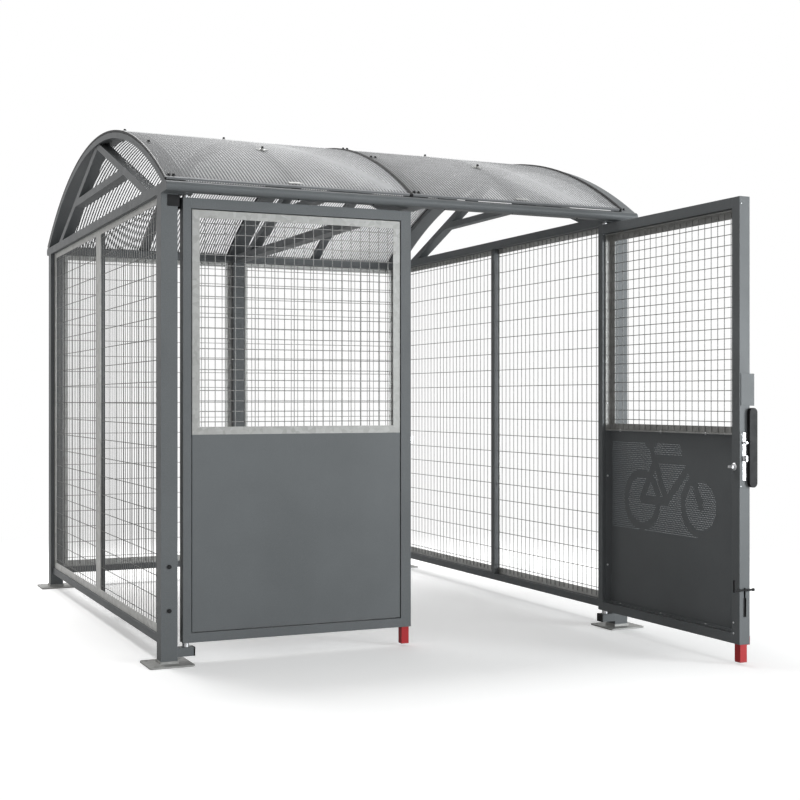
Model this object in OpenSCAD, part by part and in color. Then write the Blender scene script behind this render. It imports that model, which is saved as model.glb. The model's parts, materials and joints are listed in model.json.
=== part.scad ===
// Motorcycle storage compound with arched roof, mesh walls and two swing doors
// X runs along the front, Y runs to the back wall, Z is up
// Origin: centre of the post footprint on the ground

/* [Compound] */
// Width over the outer faces of the corner posts
comp_w = 2620; // [2500:10:2900]
// Depth over the outer faces of the corner posts
comp_d = 2970; // [2700:10:3200]
// Height of the post tops, where the top ties rest
tie_z = 2229; // [2180:1:2300]
// Side of the square posts
post_s = 80; // [70:1:90]
// Wall of the posts
post_t = 3; // [2:0.5:5]
// Width of the bottom rails
rail_w = 50; // [40:1:60]
// Height of the bottom rails
rail_h = 40; // [35:1:60]
// Underside of the bottom rails above ground
rail_z = 91; // [70:1:120]
// Wall of rails, ties and arches
tube_t = 3; // [2:0.5:4]

/* [Base plates] */
// Side of the square base plates
plate_s = 215; // [190:5:240]
// Thickness of the base plates
plate_t = 8; // [6:1:12]
// Corner radius of the base plates
plate_r = 14; // [6:1:20]
// Height of the collars that seat the posts on the plates
collar_h = 12; // [6:1:16]
// Spacing of the anchor holes along both sides
anchor_pitch = 160; // [130:5:165]
// Diameter of the anchor holes
anchor_d = 14; // [11:0.5:18]

/* [Wall mesh] */
// Width of the flat strips framing a mesh panel
strip_w = 40; // [36:1:50]
// Width of the top strip of a wall panel
top_strip = 31; // [31:1:50]
// Width of the strips where two side panels meet
mid_strip = 55; // [40:1:60]
// Thickness of these strips
strip_t = 5; // [4:0.5:6]
// Diameter of the mesh wires
wire_d = 4; // [3:0.5:5]
// Pitch of the upright wires
wire_pitch = 50; // [40:5:60]
// Number of lying wires in a wall panel
wire_rows = 20; // [14:1:24]
// First lying wire above the strip
row_inset = 19; // [10:1:30]
// Length of the wire ends that lie on the strips
wire_lap = 28; // [15:1:34]
// Place where the left side panels meet, measured from the centre
mid_y = 30; // [-100:5:100]
// Width of the middle posts behind these panels
mid_w = 40; // [30:1:55]
// Depth of these middle posts across the wall
mid_d = 28; // [20:1:30]
// Set back of the mesh panels behind the outer faces of the posts
mesh_set = 25; // [16:1:28]

/* [Top frame] */
// Width of the top ties
tie_w = 80; // [70:1:90]
// Height of the top ties and of the eave beams
tie_h = 47; // [42:1:50]
// Overhang of the eave beams beyond the posts, before the roof is shifted
eave_out = 87; // [81:1:95]
// Depth of the eave beams
eave_d = 65; // [58:1:70]

/* [Roof] */
// Height of the lower sheet edges above the eave beams
edge_rise = 15.2; // [14:0.1:18]
// Outer radius of the roof sheets
roof_r = 2850; // [2840:1:2860]
// Shift of the roof centre to the front, as a negative value
roof_y = -15; // [-20:1:-10]
// Overhang of the roof sheets beyond the posts, before the roof is shifted
sheet_out = 61; // [45:1:61]
// Thickness of the twin wall sheets
sheet_t = 10; // [6:1:12]
// Thickness of the gasket under the sheets
gasket_t = 3; // [2:0.5:4]
// Width of the arches
arch_w = 100; // [80:2:110]
// Depth of arches and rafters
arch_h = 30; // [25:1:35]
// Width of the rafters between the arches
rafter_w = 50; // [40:1:60]
// Distance from the left edge of a roof sheet to its rafter
rafter_in = 652; // [600:2:700]
// Length by which the sheet ends lie on the middle and right arches
sheet_lap = 8; // [7:1:14]
// Width of the strips that cover the sheet ends
strip_cap = 14; // [12:1:18]

/* [Roof trusses] */
// Width of the truss struts and collars
strut_w = 60; // [40:1:70]
// Depth of the struts and collars
strut_h = 40; // [30:1:45]
// Height of the collars
brace_h = 40; // [30:1:45]
// Height by which the struts are cut off below the arches
strut_trim = 20.7; // [20:0.1:30]
// Distance from the outer faces of the posts to the foot of a strut
strut_in = 285; // [265:5:305]
// Underside of the collars above the top ties
collar_up = 164; // [134:1:184]

/* [Doors] */
// Underside of the doors above ground
door_z = 100; // [94:1:110]
// Gap between door and top frame
door_top_gap = 15; // [14:1:20]
// Thickness of the doors
door_t = 60; // [56:1:64]
// Width of the hinge stiles
hinge_w = 40; // [36:1:44]
// Width of the lock stiles
lock_w = 55; // [50:1:58]
// Height of the door top rails
head_h = 50; // [40:1:60]
// Height of the door bottom rails
sill_h = 45; // [40:1:60]
// Gap between post and hinge stile
hinge_gap = 27; // [24:1:32]
// Gap between the two closed doors
meet_gap = 40; // [38:1:46]
// Opening angle of the left door as shown
left_open = 0.95; // [0:0.05:10]
// Opening angle of the right door as shown
right_open = 90.6; // [60:0.1:95]
// Levels of the bolts on the front posts
post_bolt_z = [258, 466]; // [240:1:480]
// Height of the door stops
stop_h = 54; // [40:1:60]
// Diameter of the pivot pins
pin_d = 24; // [20:1:26]
// Radial clearance around the pivot pins
pin_c = 0.05; // [0.02:0.01:0.1]

/* [Door infill] */
// Level where window and lower panel meet
mid_z = 1088; // [1060:1:1120]
// Gap between the infill and the door frame
fill_gap = 5; // [3:0.5:7]
// Face width of the window frame
win_w = 37; // [30:1:45]
// Sheet thickness of window frame and lower panel
fill_t = 3; // [2:0.5:4]
// Depth of the folded edges of the infill
fill_d = 40; // [30:1:45]
// Set back of the infill behind the door front
fill_set = 3; // [1:0.5:6]

/* [Drop bolts] */
// Side of the square drop bolts
bolt_s = 40; // [34:1:42]
// Clearance of a drop bolt in its guide on each side
bolt_c = 0.4; // [0.2:0.1:1]
// Level of the drop bolt tips as shown
bolt_z = 13; // [5:1:20]
// Level of the bolt handle as shown
handle_z = 359; // [340:1:370]
// Travel of the drop bolts
bolt_travel = 85; // [40:1:88]
// Length of the slot below the right bolt handle
slot_l = 130; // [100:5:150]

/* [Lock] */
// Level of the round latch
latch_z = 1052; // [1040:1:1060]
// Level of the dead bolt
dead_z = 977; // [970:1:990]
// Level of the turn knob
knob_z = 937; // [930:1:942]
// Underside of the guard plate
guard_z = 1226; // [1200:1:1240]
// Height of the guard plate
guard_h = 152; // [120:1:170]
// Width of the guard plate
guard_w = 78; // [60:1:80]
// Reach of latch and dead bolt as shown
bolt_reach = 20; // [16:1:22]

/* [Hidden] */
$fn = 48;
arc_fn = 360;
eps = 0.1;
x_out = comp_w / 2;
y_out = comp_d / 2;
x_in = x_out - post_s;
y_in = y_out - post_s;
x_post = x_out - post_s / 2;
y_post = y_out - post_s / 2;
tie_top = tie_z + tie_h;
rail_top = rail_z + rail_h;
rail_set = (post_s - rail_w) / 2;
foot_z = plate_t + collar_h;
sheet_y = y_out + sheet_out;
eave_y = y_out + eave_out;
arc_z = tie_top + edge_rise - sqrt(pow(roof_r, 2) - pow(sheet_y, 2));
roof_z = arc_z + roof_r;
arch_r = roof_r - sheet_t - gasket_t;
eave_front = roof_y - eave_y;
eave_back = roof_y + eave_y;
truss_x = [-x_post, 0, x_post];
joint_x = sheet_lap - arch_w / 2;
sheet_x1 = x_out - arch_w + sheet_lap;
rafter_x = [rafter_in - x_out, rafter_in + joint_x];
strut_y = y_out - strut_in;
strut_apex = arc_z + arch_r - arch_h + strut_trim;
strut_tan = (strut_apex - tie_top) / strut_y;
strut_a = atan(strut_tan);
collar_z = tie_top + collar_up;
strut_low = strut_apex - strut_h / cos(strut_a);
strut_cut = arc_z + sqrt(pow(arch_r - arch_h, 2) - pow(80, 2)) - 0.3;
// Door values, measured from the pivot axis towards the meeting edge
pivot_x = x_in - hinge_gap - hinge_w / 2;
pivot_y = -y_out + door_t / 2;
leaf_w = pivot_x - meet_gap / 2;
door_top = tie_z - door_top_gap;
fill_x0 = hinge_w / 2 + fill_gap;
fill_x1 = leaf_w - lock_w - fill_gap;
fill_y = -door_t / 2 + fill_set;
fill_z0 = door_z + sill_h + fill_gap;
fill_z1 = door_top - head_h - fill_gap;
stile_x = leaf_w - lock_w;
slot_w = 20;
slot_low = handle_z - slot_l;
lock_y = 2;

// Colours
paint = [0.34, 0.36, 0.37];
zinc = [0.66, 0.66, 0.63];
chrome = [0.82, 0.82, 0.82];
black = [0.06, 0.06, 0.06];
red = [0.56, 0.10, 0.10];
sheet = [0.72, 0.74, 0.75, 0.5];

// Square or rectangular tube from corner p with size s along one axis
module tube(p, s, t, axis) {
    bore = [for (i = [0:2]) i == axis ? s[i] + 2 : s[i] - 2 * t];
    start = [for (i = [0:2]) i == axis ? -1 : t];
    translate(p)
        difference() {
            cube(s);
            translate(start) cube(bore);
        }
}

// Solid disc or rod lying along X or Y
module rod_x(d, l) {
    rotate([0, 90, 0]) cylinder(h = l, d = d);
}
module rod_y(d, l) {
    rotate([-90, 0, 0]) cylinder(h = l, d = d);
}

// Plate in the XY plane with round corners, its lower corner at the origin
module round_plate(x, y, h, r) {
    union() {
        translate([r, 0, 0]) cube([x - 2 * r, y, h]);
        translate([0, r, 0]) cube([x, y - 2 * r, h]);
        for (a = [r, x - r], b = [r, y - r])
            translate([a, b, 0]) cylinder(h = h, r = r);
    }
}

// Base plates
module base_plate() {
    collar_s = post_s + 10;
    translate([-plate_s / 2, -plate_s / 2, 0])
        difference() {
            union() {
                round_plate(plate_s, plate_s, plate_t, plate_r);
                translate([(plate_s - collar_s) / 2, (plate_s - collar_s) / 2,
                        plate_t - eps])
                    cube([collar_s, collar_s, collar_h + eps]);
            }
            for (a = [-1, 1], b = [-1, 1])
                translate([(plate_s + a * anchor_pitch) / 2,
                        (plate_s + b * anchor_pitch) / 2, -1])
                    cylinder(h = plate_t + 2, d = anchor_d);
        }
}
module base_plates() {
    color(zinc) {
        for (a = [-1, 1], b = [-1, 1])
            translate([a * x_post, b * y_post, 0]) base_plate();
        translate([0, y_post, 0]) base_plate();
    }
}

// Posts
module post(x, y) {
    color(paint)
        tube([x - post_s / 2, y - post_s / 2, foot_z],
            [post_s, post_s, tie_z - foot_z], post_t, 2);
}
module front_left_post() {
    post(-x_post, -y_post);
}
module front_right_post() {
    post(x_post, -y_post);
}
module back_left_post() {
    post(-x_post, y_post);
}
module back_right_post() {
    post(x_post, y_post);
}
module back_middle_post() {
    post(0, y_post);
}

// The right wall is the left one turned half round
module both_sides() {
    for (a = [0, 180])
        rotate([0, 0, a]) children();
}
// Middle posts stand on the bottom rails behind the mesh
mid_x = -x_out + mesh_set + strip_t + 2 * wire_d + 3 * eps;
module side_middle_posts() {
    color(paint)
        both_sides()
            tube([mid_x, mid_y + mid_strip - mid_w, rail_top],
                [mid_d, mid_w, tie_z - rail_top], tube_t, 2);
}

// Bottom rails
module side_bottom_rails() {
    color(paint)
        both_sides()
            tube([-x_out + rail_set, -y_in, rail_z],
                [rail_w, 2 * y_in, rail_h], tube_t, 1);
}
module back_bottom_rails() {
    color(paint)
        for (x = [-x_in, post_s / 2])
            tube([x, y_out - rail_set - rail_w, rail_z],
                [x_in - post_s / 2, rail_w, rail_h], tube_t, 0);
}

// Top frame
tie_front = eave_front + eave_d;
tie_back = eave_back - eave_d;
module left_top_tie() {
    color(paint)
        tube([-x_out, tie_front, tie_z], [tie_w, tie_back - tie_front, tie_h],
            tube_t, 1);
}
module right_top_tie() {
    color(paint)
        tube([x_out - tie_w, tie_front, tie_z],
            [tie_w, tie_back - tie_front, tie_h], tube_t, 1);
}
module middle_roof_tie() {
    color(paint)
        tube([-tie_w / 2, tie_front, tie_z],
            [tie_w, y_in - tie_front, tie_h], tube_t, 1);
}
module back_top_rail() {
    color(paint)
        tube([-x_out + tie_w, y_in, tie_z],
            [2 * (x_out - tie_w), post_s, tie_h], tube_t, 0);
}

// Eave beams with a half round nose, hollow inside
module nose_bar(x, d, h) {
    union() {
        translate([0, h / 2, 0]) cube([x, d - h / 2, h]);
        translate([0, h / 2, h / 2]) rod_x(h, x);
    }
}
module eave_beam() {
    difference() {
        translate([-x_out, 0, 0]) nose_bar(2 * x_out, eave_d, tie_h);
        translate([-x_out + tube_t, tube_t, tube_t])
            nose_bar(2 * (x_out - tube_t), eave_d - 2 * tube_t,
                tie_h - 2 * tube_t);
    }
}
module front_eave_beam() {
    color(paint) translate([0, eave_front, tie_z]) eave_beam();
}
module back_eave_beam() {
    color(paint)
        translate([0, eave_back, tie_z]) mirror([0, 1, 0]) eave_beam();
}

// Part of a round shell along X between two radii, cut level at its feet
module shell(x, w, r1, r2, z_foot, half) {
    intersection() {
        translate([x, roof_y, arc_z])
            difference() {
                rotate([0, 90, 0]) cylinder(h = w, r = r2, $fn = arc_fn);
                translate([-1, 0, 0]) rotate([0, 90, 0])
                    cylinder(h = w + 2, r = r1, $fn = arc_fn);
            }
        translate([x - 1, roof_y - half, z_foot])
            cube([w + 2, 2 * half, roof_z]);
    }
}
module arch_tube(x, w) {
    color(paint)
        difference() {
            shell(x - w / 2, w, arch_r - arch_h, arch_r, tie_top, roof_r);
            shell(x - w / 2 + tube_t, w - 2 * tube_t, arch_r - arch_h + tube_t,
                arch_r - tube_t, tie_top - 1, roof_r);
        }
}
module left_gable_arch() {
    arch_tube(-x_out + arch_w / 2, arch_w);
}
module middle_arch() {
    arch_tube(0, arch_w);
}
module right_gable_arch() {
    arch_tube(x_out - arch_w / 2, arch_w);
}
module roof_rafters() {
    for (x = rafter_x)
        arch_tube(x, rafter_w);
}

// Roof sheets meet over the left edge of the middle arch
joint_gap = 3;
module roof_sheet(x0, x1) {
    color(sheet)
        shell(x0, x1 - x0, roof_r - sheet_t, roof_r, tie_z, sheet_y);
}
module left_roof_sheet() {
    roof_sheet(-x_out, joint_x - joint_gap);
}
module right_roof_sheet() {
    roof_sheet(joint_x + joint_gap, sheet_x1 - joint_gap);
}
module gasket(x, w) {
    shell(x, w, arch_r + eps, arch_r + gasket_t - eps, tie_top, sheet_y);
}
module sheet_gaskets() {
    color(black) {
        gasket(-x_out, arch_w);
        gasket(-arch_w / 2, arch_w);
        gasket(x_out - arch_w, sheet_lap - joint_gap);
        for (x = rafter_x)
            gasket(x - rafter_w / 2, rafter_w);
    }
}
// T-shaped strips between the sheets and at their right end, where the
// web r_foot reaches down to the gasket or to the bare arch
module cap_strip(x, r_foot) {
    union() {
        shell(x - strip_cap / 2, strip_cap, roof_r + eps, roof_r + 3, tie_z,
            sheet_y);
        shell(x - joint_gap + 0.3, 2 * joint_gap - 0.6, r_foot + eps, roof_r + 1,
            tie_top, sheet_y);
    }
}
module sheet_strips() {
    color(black) {
        cap_strip(joint_x, roof_r - sheet_t);
        cap_strip(sheet_x1, arch_r);
    }
}

// Cross shaped clamps that hold the sheets down on the rafters
clamp_l = 64;
clamp_w = 14;
module sheet_clamp() {
    union() {
        for (a = [0, 90])
            rotate([0, 0, a])
                translate([-clamp_l / 2, -clamp_w / 2, 0])
                    cube([clamp_l, clamp_w, 3]);
        cylinder(h = 3, d = 26);
        translate([0, 0, 2.9]) cylinder(h = 7.1, d = 14);
    }
}
module sheet_clamps() {
    color(zinc)
        for (x = rafter_x, a = [-21, -7, 7, 21])
            translate([x, roof_y, arc_z])
                rotate([-a, 0, 0])
                    translate([0, 0, roof_r + 0.2]) sheet_clamp();
}

// Roof trusses
module strut(x) {
    intersection() {
        translate([x - strut_w / 2, roof_y, strut_apex])
            rotate([-strut_a, 0, 0])
                tube([0, -2 * strut_h, -strut_h], [strut_w, eave_y, strut_h],
                    tube_t, 1);
        translate([x - strut_w, roof_y, tie_top])
            cube([2 * strut_w, eave_y, strut_cut - tie_top]);
    }
}
module truss_struts() {
    color(paint)
        for (x = truss_x) {
            strut(x);
            translate([0, 2 * roof_y, 0]) mirror([0, 1, 0]) strut(x);
        }
}
collar_low = (strut_low - collar_z) / strut_tan;
collar_high = (strut_low - collar_z - brace_h) / strut_tan;
module truss_collars() {
    color(paint)
        for (x = truss_x)
            translate([x - strut_w / 2, roof_y, collar_z])
                intersection() {
                    tube([0, -collar_low - 1, 0],
                        [strut_w, 2 * collar_low + 2, brace_h], tube_t, 1);
                    rotate([90, 0, 90])
                        linear_extrude(strut_w)
                            polygon([[-collar_low, 0], [collar_low, 0],
                                [collar_high, brace_h],
                                [-collar_high, brace_h]]);
                }
}

// Mesh panel standing in the XZ plane: frame from x 0 to w, face at y 0
// Faces f are the strip widths at the left, right, bottom and top
module flat_frame(w, h, f, t) {
    difference() {
        cube([w, t, h]);
        translate([f[0], -1, f[2]])
            cube([w - f[0] - f[1], t + 2, h - f[2] - f[3]]);
    }
}
// Wires behind a frame: uprights first, lying wires behind them
module wires(w, h, f, t, rows, inset) {
    open_x = w - f[0] - f[1];
    open_z = h - f[2] - f[3];
    span_x = open_x + 2 * wire_lap;
    span_z = open_z + 2 * wire_lap;
    cols = floor((span_x - wire_d - 2) / wire_pitch) + 1;
    x_first = f[0] + (open_x - (cols - 1) * wire_pitch) / 2;
    row_step = (open_z - 2 * inset) / (rows - 1);
    for (i = [0:cols - 1])
        translate([x_first + i * wire_pitch, t + eps + wire_d / 2,
                f[2] - wire_lap])
            cylinder(h = span_z, d = wire_d, $fn = 16);
    for (i = [0:rows - 1])
        translate([f[0] - wire_lap, t + 2 * eps + 1.5 * wire_d,
                f[2] + inset + i * row_step])
            rotate([0, 90, 0]) cylinder(h = span_x, d = wire_d, $fn = 16);
}
wall_h = tie_z - rail_top;
front_w = mid_y + y_in - 0.5;
rear_w = y_in - mid_y - 0.5;
back_w = x_in - post_s / 2;
front_f = [mid_strip, strip_w, strip_w, top_strip];
rear_f = [strip_w, mid_strip, strip_w, top_strip];
back_f = [strip_w, strip_w, strip_w, top_strip];
// Places of the panels, seen from outside
module front_bay() {
    translate([-x_out + mesh_set, mid_y - 0.5, rail_top])
        rotate([0, 0, -90]) children();
}
module rear_bay() {
    translate([-x_out + mesh_set, y_in, rail_top])
        rotate([0, 0, -90]) children();
}
module side_frames() {
    color(zinc) {
        front_bay() flat_frame(front_w, wall_h, front_f, strip_t);
        rear_bay() flat_frame(rear_w, wall_h, rear_f, strip_t);
    }
}
module side_wires() {
    color(zinc) {
        front_bay() wires(front_w, wall_h, front_f, strip_t, wire_rows, row_inset);
        rear_bay() wires(rear_w, wall_h, rear_f, strip_t, wire_rows, row_inset);
    }
}
module left_mesh_frames() {
    side_frames();
}
module left_mesh_wires() {
    side_wires();
}
module right_mesh_frames() {
    rotate([0, 0, 180]) side_frames();
}
module right_mesh_wires() {
    rotate([0, 0, 180]) side_wires();
}
module back_wall() {
    for (x = [-post_s / 2, x_in])
        translate([x, y_out - mesh_set, rail_top])
            rotate([0, 0, 180]) children();
}
module back_mesh_frames() {
    color(zinc) back_wall() flat_frame(back_w, wall_h, back_f, strip_t);
}
module back_mesh_wires() {
    color(zinc)
        back_wall() wires(back_w, wall_h, back_f, strip_t, wire_rows, row_inset);
}

// Fixed pivot parts on the front posts
arm_d = 50;
arm_h = 42;
arm_z = 37;
arm_l = 86;
cap_t = 8;
top_plate_t = 10;
top_plate_l = hinge_gap + hinge_w + 8;
module pivot_arms() {
    color(paint)
        for (s = [0, 1])
            mirror([s, 0, 0])
                tube([-x_in, -y_out, arm_z], [arm_l - cap_t, arm_d, arm_h],
                    tube_t, 0);
}
module arm_caps() {
    color(black)
        for (s = [0, 1])
            mirror([s, 0, 0])
                translate([-x_in + arm_l - cap_t, -y_out, arm_z])
                    cube([cap_t, arm_d, arm_h]);
}
pin_in = 34;
arm_top = arm_z + arm_h;
module pivot_pins() {
    color(chrome)
        for (s = [-1, 1]) {
            translate([s * pivot_x, pivot_y, arm_top])
                union() {
                    cylinder(h = door_z + pin_in - arm_top - 4, d = pin_d);
                    cylinder(h = door_z - arm_top - 0.5, d = pin_d + 8);
                }
            translate([s * pivot_x, pivot_y, door_top - pin_in + 4])
                cylinder(h = tie_z - door_top + pin_in - 4, d = pin_d);
        }
}
// Plates on the inner faces of the side ties hold the upper pins
module top_pivot_plates() {
    color(paint)
        for (s = [0, 1])
            mirror([s, 0, 0])
                translate([-x_out + tie_w, -y_out, tie_z])
                    cube([top_plate_l, door_t, top_plate_t]);
}
// Angled blocks on the front posts stop the doors when closed
stop_z = tie_z - stop_h - 6;
module door_stops() {
    color(black)
        for (s = [0, 1])
            mirror([s, 0, 0])
                union() {
                    translate([-x_in - 48, -y_out - 4, stop_z])
                        cube([56, 4, stop_h]);
                    translate([-x_in, -y_out - 4, stop_z])
                        cube([8, door_t / 2 + 84, stop_h]);
                    translate([-x_in, pivot_y + 40, stop_z])
                        cube([38, 40, stop_h]);
                }
}
// Round heads of the bolts on the front faces of the front posts
module post_bolts() {
    color(black)
        for (x = [-x_post, x_post], z = post_bolt_z)
            translate([x, -y_out - 6, z]) rod_y(20, 6);
}

// Door leaves: x from the pivot to the meeting edge, y from front to inside
module left_leaf() {
    translate([-pivot_x, pivot_y, 0]) rotate([0, 0, -left_open]) children();
}
module right_leaf() {
    translate([pivot_x, pivot_y, 0]) rotate([0, 0, right_open])
        mirror([1, 0, 0]) children();
}

// Hinge stile with a solid plug and a pivot bore at each end
module hinge_stile() {
    bore = pin_d / 2 + pin_c;
    difference() {
        translate([-hinge_w / 2, -door_t / 2, door_z])
            cube([hinge_w, door_t, door_top - door_z]);
        translate([-hinge_w / 2 + tube_t, -door_t / 2 + tube_t,
                door_z + pin_in])
            cube([hinge_w - 2 * tube_t, door_t - 2 * tube_t,
                door_top - door_z - 2 * pin_in]);
        for (z = [door_z - 1, door_top - pin_in - 1])
            translate([0, 0, z]) cylinder(h = pin_in + 2, r = bore);
    }
}
// Lock stile with a guide plate for the drop bolt at its foot
guide_t = 12;
module lock_stile() {
    g = bolt_s + 2 * bolt_c;
    difference() {
        translate([stile_x, -door_t / 2, door_z])
            cube([lock_w, door_t, door_top - door_z]);
        translate([stile_x + tube_t, -door_t / 2 + tube_t, door_z + guide_t])
            cube([lock_w - 2 * tube_t, door_t - 2 * tube_t,
                door_top - door_z - guide_t - tube_t]);
        translate([bolt_x - g / 2, -g / 2, door_z - 1])
            cube([g, g, guide_t + 2]);
    }
}
bolt_x = stile_x + lock_w / 2;
module door_rails() {
    color(paint)
        for (r = [[door_z, sill_h], [door_top - head_h, head_h]])
            tube([hinge_w / 2, -door_t / 2, r[0]],
                [stile_x - hinge_w / 2, door_t, r[1]], tube_t, 0);
}
// Round spacers between the infill and the door frame
boss_d = 16;
module side_bosses(zs) {
    for (z = zs) {
        translate([fill_x0 - fill_gap, 0, z]) rod_x(boss_d, fill_gap + 1);
        translate([fill_x1 - 1, 0, z]) rod_x(boss_d, fill_gap + 1);
    }
}
module window_frame() {
    w = fill_x1 - fill_x0;
    h = fill_z1 - mid_z;
    color(zinc)
        union() {
            translate([fill_x0, fill_y, mid_z])
                difference() {
                    cube([w, fill_d, h]);
                    translate([fill_t, fill_t, fill_t])
                        cube([w - 2 * fill_t, fill_d, h - 2 * fill_t]);
                    translate([win_w, -1, win_w])
                        cube([w - 2 * win_w, fill_t + 2, h - 2 * win_w]);
                }
            side_bosses([mid_z + 150, fill_z1 - 150]);
        }
}
module window_wires() {
    w = fill_x1 - fill_x0;
    h = fill_z1 - mid_z;
    rows = floor((h - 2 * win_w - 12) / wire_pitch) + 1;
    inset = (h - 2 * win_w - (rows - 1) * wire_pitch) / 2;
    color(zinc)
        translate([fill_x0, fill_y, mid_z])
            wires(w, h, [win_w, win_w, win_w, win_w], fill_t, rows, inset);
}
module lower_panel() {
    w = fill_x1 - fill_x0;
    h = mid_z - fill_z0;
    color(paint)
        union() {
            translate([fill_x0, fill_y, fill_z0])
                difference() {
                    cube([w, fill_d, h]);
                    translate([fill_t, fill_t, fill_t])
                        cube([w - 2 * fill_t, fill_d, h - 2 * fill_t]);
                }
            side_bosses([fill_z0 + 200, mid_z - 250]);
        }
}

// Left door
module left_door_stiles() {
    color(paint)
        left_leaf() {
            hinge_stile();
            difference() {
                lock_stile();
                translate([bolt_x - 6, 0, handle_z - bolt_travel - 8])
                    cube([12, door_t, bolt_travel + 16]);
            }
        }
}
module left_door_rails() {
    left_leaf() door_rails();
}
module left_window_frame() {
    left_leaf() window_frame();
}
module left_window_wires() {
    left_leaf() window_wires();
}
module left_door_panel() {
    left_leaf() lower_panel();
}
// Strike box on the meeting edge with a pocket for the latch
latch_d = 16;
strike_l = meet_gap / 2 - 1;
module left_strike() {
    color(chrome)
        left_leaf()
            translate([leaf_w, 0, latch_z])
                difference() {
                    translate([0, lock_y - 16, -16]) cube([strike_l, 32, 32]);
                    translate([4, lock_y, 0]) rod_x(latch_d + 4, strike_l);
                }
}
module left_buffer() {
    color(black)
        left_leaf() translate([leaf_w, 0, 142]) rod_x(20, 6);
}

// Drop bolts, square bars that slide down into the ground
bolt_top = handle_z + 20;
module drop_bar() {
    translate([bolt_x - bolt_s / 2, -bolt_s / 2, bolt_z])
        cube([bolt_s, bolt_s, bolt_top - bolt_z]);
}
module left_drop_bolt() {
    color(red) left_leaf() drop_bar();
}
module left_bolt_handle() {
    color(black)
        left_leaf()
            translate([bolt_x, bolt_s / 2, handle_z])
                union() {
                    rod_y(10, 50);
                    translate([0, 46, 0]) rod_y(18, 14);
                }
}
// The right bolt carries a foot pedal below the stile, bent up at the front
pedal_t = 4;
module right_drop_bolt() {
    plate_z = door_z - pedal_t - 0.5;
    tab_y = -door_t / 2 - 4 - pedal_t;
    color(red)
        right_leaf()
            union() {
                drop_bar();
                translate([bolt_x - bolt_s / 2, tab_y, plate_z])
                    cube([bolt_s, door_t / 2 - tab_y - 32, pedal_t]);
                translate([bolt_x - bolt_s / 2, tab_y, plate_z])
                    cube([bolt_s, pedal_t, 34]);
                translate([bolt_x, tab_y, plate_z + 34])
                    rod_y(bolt_s, pedal_t);
            }
}
rod_out = 18;
module right_bolt_handle() {
    x = leaf_w + rod_out;
    y0 = -door_t / 2 - 2;
    y1 = door_t / 2 + 46;
    color(black)
        right_leaf()
            union() {
                translate([bolt_x + bolt_s / 2, 0, handle_z])
                    rod_x(9, x - bolt_x - bolt_s / 2);
                translate([x, y0, handle_z]) rod_y(10, y1 - y0);
                translate([x, y1, handle_z - 7]) cylinder(h = 57, d = 12);
                translate([x, y0 - 8, handle_z]) rod_y(14, 9);
            }
}

// Right door
case_w = 18;
case_d = 49;
case_z0 = 892;
case_z1 = 1082;
face_z0 = 873;
face_z1 = 1099;
face_t = 3;
knob_x = leaf_w - 40;
dead_h = 27;
dead_w = 10;
module right_door_stiles() {
    color(paint)
        right_leaf() {
            hinge_stile();
            difference() {
                lock_stile();
                translate([leaf_w - 10, -5.5, slot_low])
                    cube([20, 11, handle_z + 8 - slot_low]);
                translate([leaf_w - 10, -slot_w / 2, slot_low])
                    cube([20, slot_w, 90]);
                translate([leaf_w - 10, lock_y - case_w / 2 - eps,
                        case_z0 - eps])
                    cube([20, case_w + 2 * eps, case_z1 - case_z0 + 2 * eps]);
                translate([knob_x, 20, knob_z]) rod_y(14, door_t);
            }
        }
}
module right_door_rails() {
    right_leaf() door_rails();
}
module right_window_frame() {
    right_leaf() window_frame();
}
module right_window_wires() {
    right_leaf() window_wires();
}
module right_door_panel() {
    right_leaf() lower_panel();
}
// Lock case inside the stile with its face plate on the meeting edge
module lock_case() {
    color(chrome)
        right_leaf()
            difference() {
                union() {
                    translate([leaf_w - case_d, lock_y - case_w / 2, case_z0])
                        cube([case_d, case_w, case_z1 - case_z0]);
                    translate([leaf_w, lock_y - 10, face_z0])
                        cube([face_t, 20, face_z1 - face_z0]);
                }
                translate([leaf_w - 36, lock_y, latch_z])
                    rod_x(latch_d - 4 + 0.4, 60);
                translate([leaf_w - 36, lock_y - dead_w / 2 - 0.2,
                        dead_z - dead_h / 2 - 0.2])
                    cube([60, dead_w + 0.4, dead_h + 0.4]);
                translate([knob_x, lock_y, knob_z]) rod_y(8.4, case_w);
            }
}
module latch_bolt() {
    color(chrome)
        right_leaf()
            translate([leaf_w - 14, lock_y, latch_z])
                rod_x(latch_d - 4, 14 + bolt_reach);
}
module dead_bolt() {
    color(chrome)
        right_leaf()
            translate([leaf_w - 14, lock_y - dead_w / 2, dead_z - dead_h / 2])
                cube([14 + bolt_reach, dead_w, dead_h]);
}
module turn_knob() {
    color(chrome)
        right_leaf()
            translate([knob_x, door_t / 2, knob_z])
                union() {
                    translate([0, lock_y + 1 - door_t / 2, 0])
                        rod_y(8, door_t / 2 - lock_y + 2);
                    translate([0, 0.3, 0]) rod_y(22, 6);
                    translate([-16, 6, -6]) cube([32, 18, 12]);
                }
}
module guard_plate() {
    color(zinc)
        right_leaf()
            translate([leaf_w, -55, guard_z]) cube([3, guard_w, guard_h]);
}
// Long grip with round ends on the meeting edge
module pull_handle() {
    color(black)
        right_leaf()
            translate([leaf_w, -60, 840])
                rotate([90, 0, 90]) round_plate(45, 376, 20, 22);
}

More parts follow.
